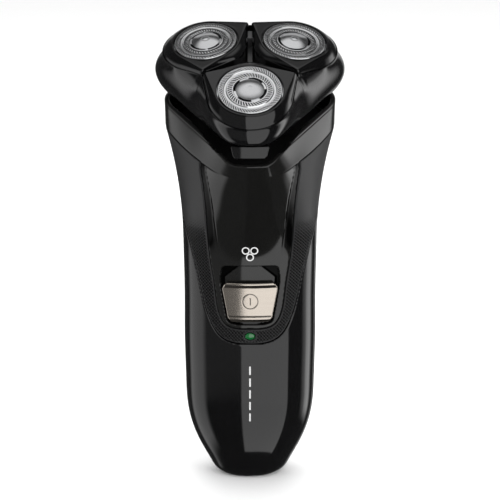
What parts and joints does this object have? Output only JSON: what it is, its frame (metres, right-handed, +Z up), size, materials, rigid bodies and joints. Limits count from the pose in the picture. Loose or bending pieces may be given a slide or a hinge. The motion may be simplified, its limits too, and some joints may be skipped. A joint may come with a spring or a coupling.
{
  "type": "rotary electric shaver",
  "caption": "Cordless rotary shaver: lobed floating head with slotted round cutters on a rocking neck, waisted handle with textured grip, sliding power button, pop-up trimmer.",
  "frame": {"origin": "centre of the flat base on which the handle stands", "axes": "+Z up the handle towards the shaving head, -Y towards the front with the power button, +X to the right of a person facing that front"},
  "size_m": [0.0636, 0.0561, 0.1603],
  "materials": {
    "gloss_black": "polished black moulding",
    "satin_black": "satin black moulding",
    "soft_grip": "matt textured soft-touch grip",
    "inner_black": "plain black moulding",
    "champagne_metal": "champagne-coloured satin metal",
    "steel": "bright stainless steel",
    "blade_steel": "ground stainless steel",
    "brass": "plain",
    "nylon": "natural nylon",
    "board_green": "solder mask",
    "cell_blue": "shrink sleeve",
    "lamp_green": "translucent lens, unlit",
    "soft_black": "matt black rubber"
  },
  "bodies": {
    "handle": {"front_fascia": "gloss_black", "grip_panel": "soft_grip", "front_cover": "gloss_black", "rear_shell": "satin_black", "trimmer_hinge_pin": "steel", "trimmer_bay": "inner_black", "circuit_board": "board_green", "chassis": "inner_black", "board_screw_low": "steel", "board_screw_high": "steel", "slide_switch": "inner_black", "led_chip": "nylon", "led_lens": "lamp_green", "battery_cell": "cell_blue", "battery_contact_top": "brass", "battery_contact_bottom": "brass", "charging_socket": "inner_black", "charging_pin_left": "steel", "charging_pin_right": "steel", "motor_can": "steel", "motor_cradle": "inner_black", "neck_deck": "inner_black", "neck_boot": "soft_black"},
    "power_slider": {"power_button": "champagne_metal", "switch_lever": "nylon"},
    "motor_rotor": {"motor_shaft": "steel"},
    "gimbal": {"gimbal_ring": "nylon"},
    "shaving_head": {"head_base": "gloss_black", "hair_tray": "inner_black"},
    "pinion": {"drive_pinion": "nylon"},
    "blade_carrier": {"blade_frame": "inner_black"},
    "gear_front": {"drive_gear_front": "nylon"},
    "drive_coupler_front": {"coupler_front": "nylon"},
    "pod_body_front": {"pod_front": "satin_black", "retainer_front": "nylon"},
    "cap_body_front": {"cap_front": "steel", "cap_centre_front": "steel"},
    "cutter_body_front": {"cutter_front": "blade_steel"},
    "gear_right": {"drive_gear_right": "nylon"},
    "drive_coupler_right": {"coupler_right": "nylon"},
    "pod_body_right": {"pod_right": "satin_black", "retainer_right": "nylon"},
    "cap_body_right": {"cap_right": "steel", "cap_centre_right": "steel"},
    "cutter_body_right": {"cutter_right": "blade_steel"},
    "gear_left": {"drive_gear_left": "nylon"},
    "drive_coupler_left": {"coupler_left": "nylon"},
    "pod_body_left": {"pod_left": "satin_black", "retainer_left": "nylon"},
    "cap_body_left": {"cap_left": "steel", "cap_centre_left": "steel"},
    "cutter_body_left": {"cutter_left": "blade_steel"},
    "release": {"release_tab": "gloss_black"},
    "trimmer": {"trimmer_arm": "satin_black", "trimmer_comb": "steel"},
    "trimmer_cutter": {"trimmer_blade": "blade_steel"},
    "trimmer_catch": {"trimmer_release": "satin_black"}
  },
  "joints": [
    {"name": "power_slide", "type": "slide", "parent": "handle", "child": "power_slider", "axis": [0, 0, 1], "range_m": [0, 0.0045]},
    {"name": "motor_spin", "type": "hinge", "parent": "handle", "child": "motor_rotor", "pos_m": [0, 0.00517, 0.13166], "axis": [0, 0, 1], "continuous": true},
    {"name": "head_rock", "type": "hinge", "parent": "handle", "child": "gimbal", "pos_m": [0, 0.00517, 0.13166], "axis": [1, 0, 0], "range_deg": [-2.5, 2.5]},
    {"name": "head_roll", "type": "hinge", "parent": "gimbal", "child": "shaving_head", "pos_m": [0, 0.00517, 0.13166], "axis": [0, 0.9511, 0.309], "range_deg": [-3, 3]},
    {"name": "pinion_spin", "type": "hinge", "parent": "shaving_head", "child": "pinion", "pos_m": [0, -0.0055, 0.1509], "axis": [0, -0.4848, 0.8746], "continuous": true},
    {"name": "gear_spin_front", "type": "hinge", "parent": "shaving_head", "child": "gear_front", "pos_m": [0, -0.01535, 0.13401], "axis": [0, -0.4848, 0.8746], "continuous": true},
    {"name": "coupler_plunge_front", "type": "slide", "parent": "gear_front", "child": "drive_coupler_front", "axis": [0, -0.4848, 0.8746], "range_m": [-0.0005, 0]},
    {"name": "gear_spin_right", "type": "hinge", "parent": "shaving_head", "child": "gear_right", "pos_m": [0.01455, 0.00669, 0.14623], "axis": [0, -0.4848, 0.8746], "continuous": true},
    {"name": "coupler_plunge_right", "type": "slide", "parent": "gear_right", "child": "drive_coupler_right", "axis": [0, -0.4848, 0.8746], "range_m": [-0.0005, 0]},
    {"name": "gear_spin_left", "type": "hinge", "parent": "shaving_head", "child": "gear_left", "pos_m": [-0.01455, 0.00669, 0.14623], "axis": [0, -0.4848, 0.8746], "continuous": true},
    {"name": "coupler_plunge_left", "type": "slide", "parent": "gear_left", "child": "drive_coupler_left", "axis": [0, -0.4848, 0.8746], "range_m": [-0.0005, 0]},
    {"name": "blade_frame_lift", "type": "slide", "parent": "shaving_head", "child": "blade_carrier", "axis": [0, -0.4848, 0.8746], "range_m": [0, 0.03]},
    {"name": "pod_flex_front", "type": "hinge", "parent": "blade_carrier", "child": "pod_body_front", "pos_m": [0, -0.01056, 0.14465], "axis": [1, 0, 0], "range_deg": [0, 2]},
    {"name": "cap_float_front", "type": "slide", "parent": "pod_body_front", "child": "cap_body_front", "axis": [0, -0.5878, 0.809], "range_m": [-0.001, 0]},
    {"name": "cutter_spin_front", "type": "hinge", "parent": "cap_body_front", "child": "cutter_body_front", "pos_m": [0, -0.02072, 0.14246], "axis": [0, -0.5878, 0.809], "continuous": true},
    {"name": "pod_flex_right", "type": "hinge", "parent": "blade_carrier", "child": "pod_body_right", "pos_m": [0.00646, -0.00078, 0.15007], "axis": [-0.5, 0.7574, 0.4199], "range_deg": [0, 2]},
    {"name": "cap_float_right", "type": "slide", "parent": "pod_body_right", "child": "cap_body_right", "axis": [0.1055, -0.4279, 0.8976], "range_m": [-0.001, 0]},
    {"name": "cutter_spin_right", "type": "hinge", "parent": "cap_body_right", "child": "cutter_body_right", "pos_m": [0.01507, 0.00211, 0.15512], "axis": [0.1055, -0.4279, 0.8976], "continuous": true},
    {"name": "pod_flex_left", "type": "hinge", "parent": "blade_carrier", "child": "pod_body_left", "pos_m": [-0.00646, -0.00078, 0.15007], "axis": [-0.5, -0.7574, -0.4199], "range_deg": [0, 2]},
    {"name": "cap_float_left", "type": "slide", "parent": "pod_body_left", "child": "cap_body_left", "axis": [-0.1055, -0.4279, 0.8976], "range_m": [-0.001, 0]},
    {"name": "cutter_spin_left", "type": "hinge", "parent": "cap_body_left", "child": "cutter_body_left", "pos_m": [-0.01507, 0.00211, 0.15512], "axis": [-0.1055, -0.4279, 0.8976], "continuous": true},
    {"name": "release_press", "type": "slide", "parent": "shaving_head", "child": "release", "axis": [0, 1, 0], "range_m": [0, 0.001]},
    {"name": "trimmer_fold", "type": "hinge", "parent": "handle", "child": "trimmer", "pos_m": [0, 0.0166, 0.091], "axis": [-1, 0, 0], "range_deg": [0, 90]},
    {"name": "trimmer_stroke", "type": "slide", "parent": "trimmer", "child": "trimmer_cutter", "axis": [1, 0, 0], "range_m": [-0.0008, 0.0008]},
    {"name": "trimmer_catch_slide", "type": "slide", "parent": "handle", "child": "trimmer_catch", "axis": [0, 0, -1], "range_m": [0, 0.0025]}
  ],
  "couplings": [
    {"joint": "pinion_spin", "follows": "motor_spin", "ratio": 1},
    {"joint": "gear_spin_front", "follows": "motor_spin", "ratio": -0.75},
    {"joint": "cutter_spin_front", "follows": "motor_spin", "ratio": -0.75},
    {"joint": "gear_spin_right", "follows": "motor_spin", "ratio": -0.75},
    {"joint": "cutter_spin_right", "follows": "motor_spin", "ratio": -0.75},
    {"joint": "gear_spin_left", "follows": "motor_spin", "ratio": -0.75},
    {"joint": "cutter_spin_left", "follows": "motor_spin", "ratio": -0.75}
  ]
}
